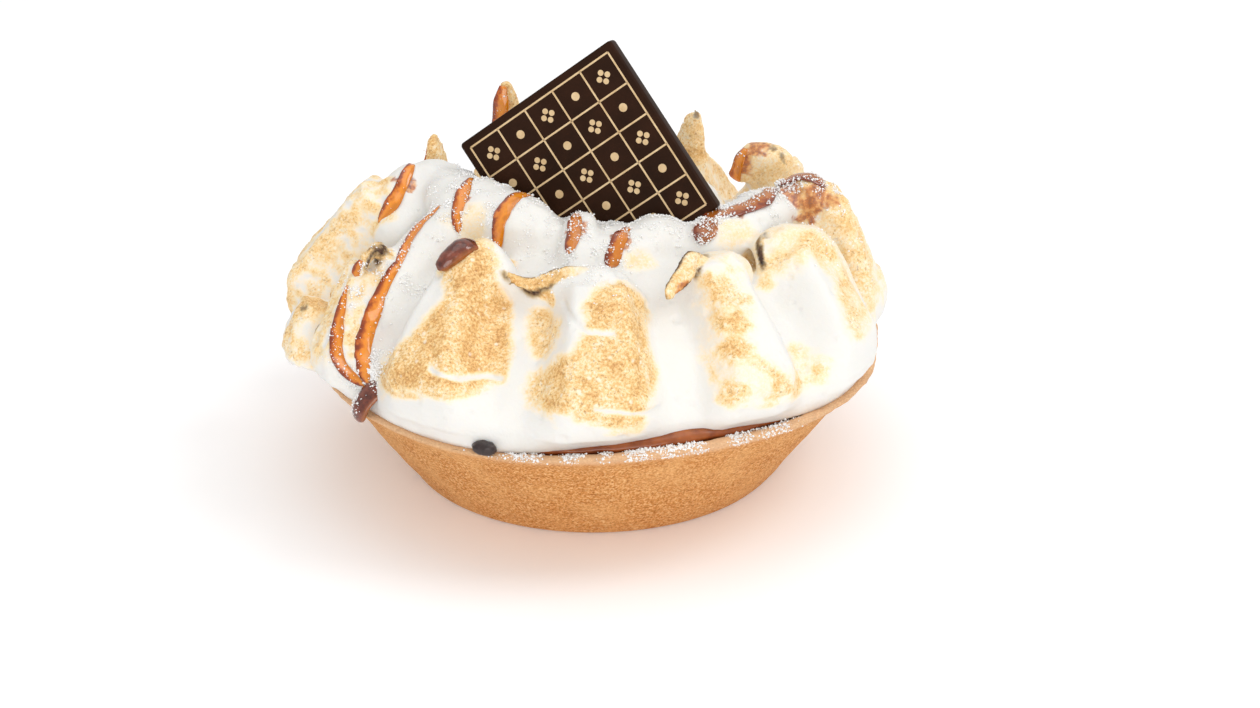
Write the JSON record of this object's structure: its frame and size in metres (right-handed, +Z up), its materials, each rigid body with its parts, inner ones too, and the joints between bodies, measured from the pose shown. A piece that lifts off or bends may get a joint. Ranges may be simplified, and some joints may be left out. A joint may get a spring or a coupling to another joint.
{
  "type": "lemon meringue tart",
  "caption": "Single-serve round tart: plain shortcrust cup with lemon filling, torched meringue pulled into petals with caramel drizzle, and a square of dark chocolate stuck upright in the top.",
  "frame": {"origin": "middle of the flat base that the tart rests on", "axes": "+Z up, -Y towards the front, where the chocolate square shows its face"},
  "size_m": [0.104, 0.101, 0.0748],
  "materials": {
    "pastry": "matte baked shortcrust, golden brown",
    "filling": "glossy set lemon filling",
    "meringue": "satin white meringue, torched golden on the petals",
    "chocolate": "satin dark chocolate"
  },
  "bodies": {
    "root": {"pastry_shell": "pastry", "lemon_filling": "filling", "meringue": "meringue", "chocolate_plaque": "chocolate"}
  },
  "joints": []
}
